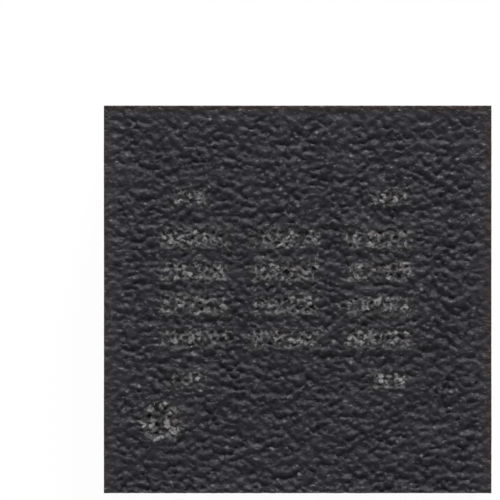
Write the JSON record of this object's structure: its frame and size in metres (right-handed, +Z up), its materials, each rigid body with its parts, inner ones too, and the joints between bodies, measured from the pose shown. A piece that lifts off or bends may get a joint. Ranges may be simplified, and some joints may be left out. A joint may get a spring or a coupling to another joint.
{
  "type": "electronic fuse chip",
  "caption": "Square flat power chip in black moulding compound, with solder feet along two sides, a thermal pad below and a round dot over its first lead.",
  "frame": {"origin": "on the board under the middle of the body, level with the solder faces", "axes": "+Z up from the board; X along the two rows of leads; Y from row to row; lead 1 at -X, -Y"},
  "size_m": [0.002, 0.002, 0.0008],
  "materials": {
    "moulding_compound": "dark grey filled epoxy, wrinkled top face, sawn sides",
    "plated_copper": "satin pale plating with fine brush lines; bare copper where sawn",
    "silicon": "polished dark grey silicon",
    "silver_adhesive": "silver-filled epoxy, satin",
    "bond_wire": "bright drawn gold"
  },
  "bodies": {
    "root": {"mould_body": "moulding_compound", "die_pad": "plated_copper", "lead_1": "plated_copper", "lead_2": "plated_copper", "lead_3": "plated_copper", "lead_4": "plated_copper", "lead_5": "plated_copper", "lead_6": "plated_copper", "die": "silicon", "die_attach": "silver_adhesive", "bond_wire_1a": "bond_wire", "bond_wire_1b": "bond_wire", "bond_wire_1c": "bond_wire", "bond_wire_2": "bond_wire", "bond_wire_3": "bond_wire", "bond_wire_4": "bond_wire", "bond_wire_5": "bond_wire", "bond_wire_6a": "bond_wire", "bond_wire_6b": "bond_wire", "bond_wire_6c": "bond_wire"}
  },
  "joints": []
}
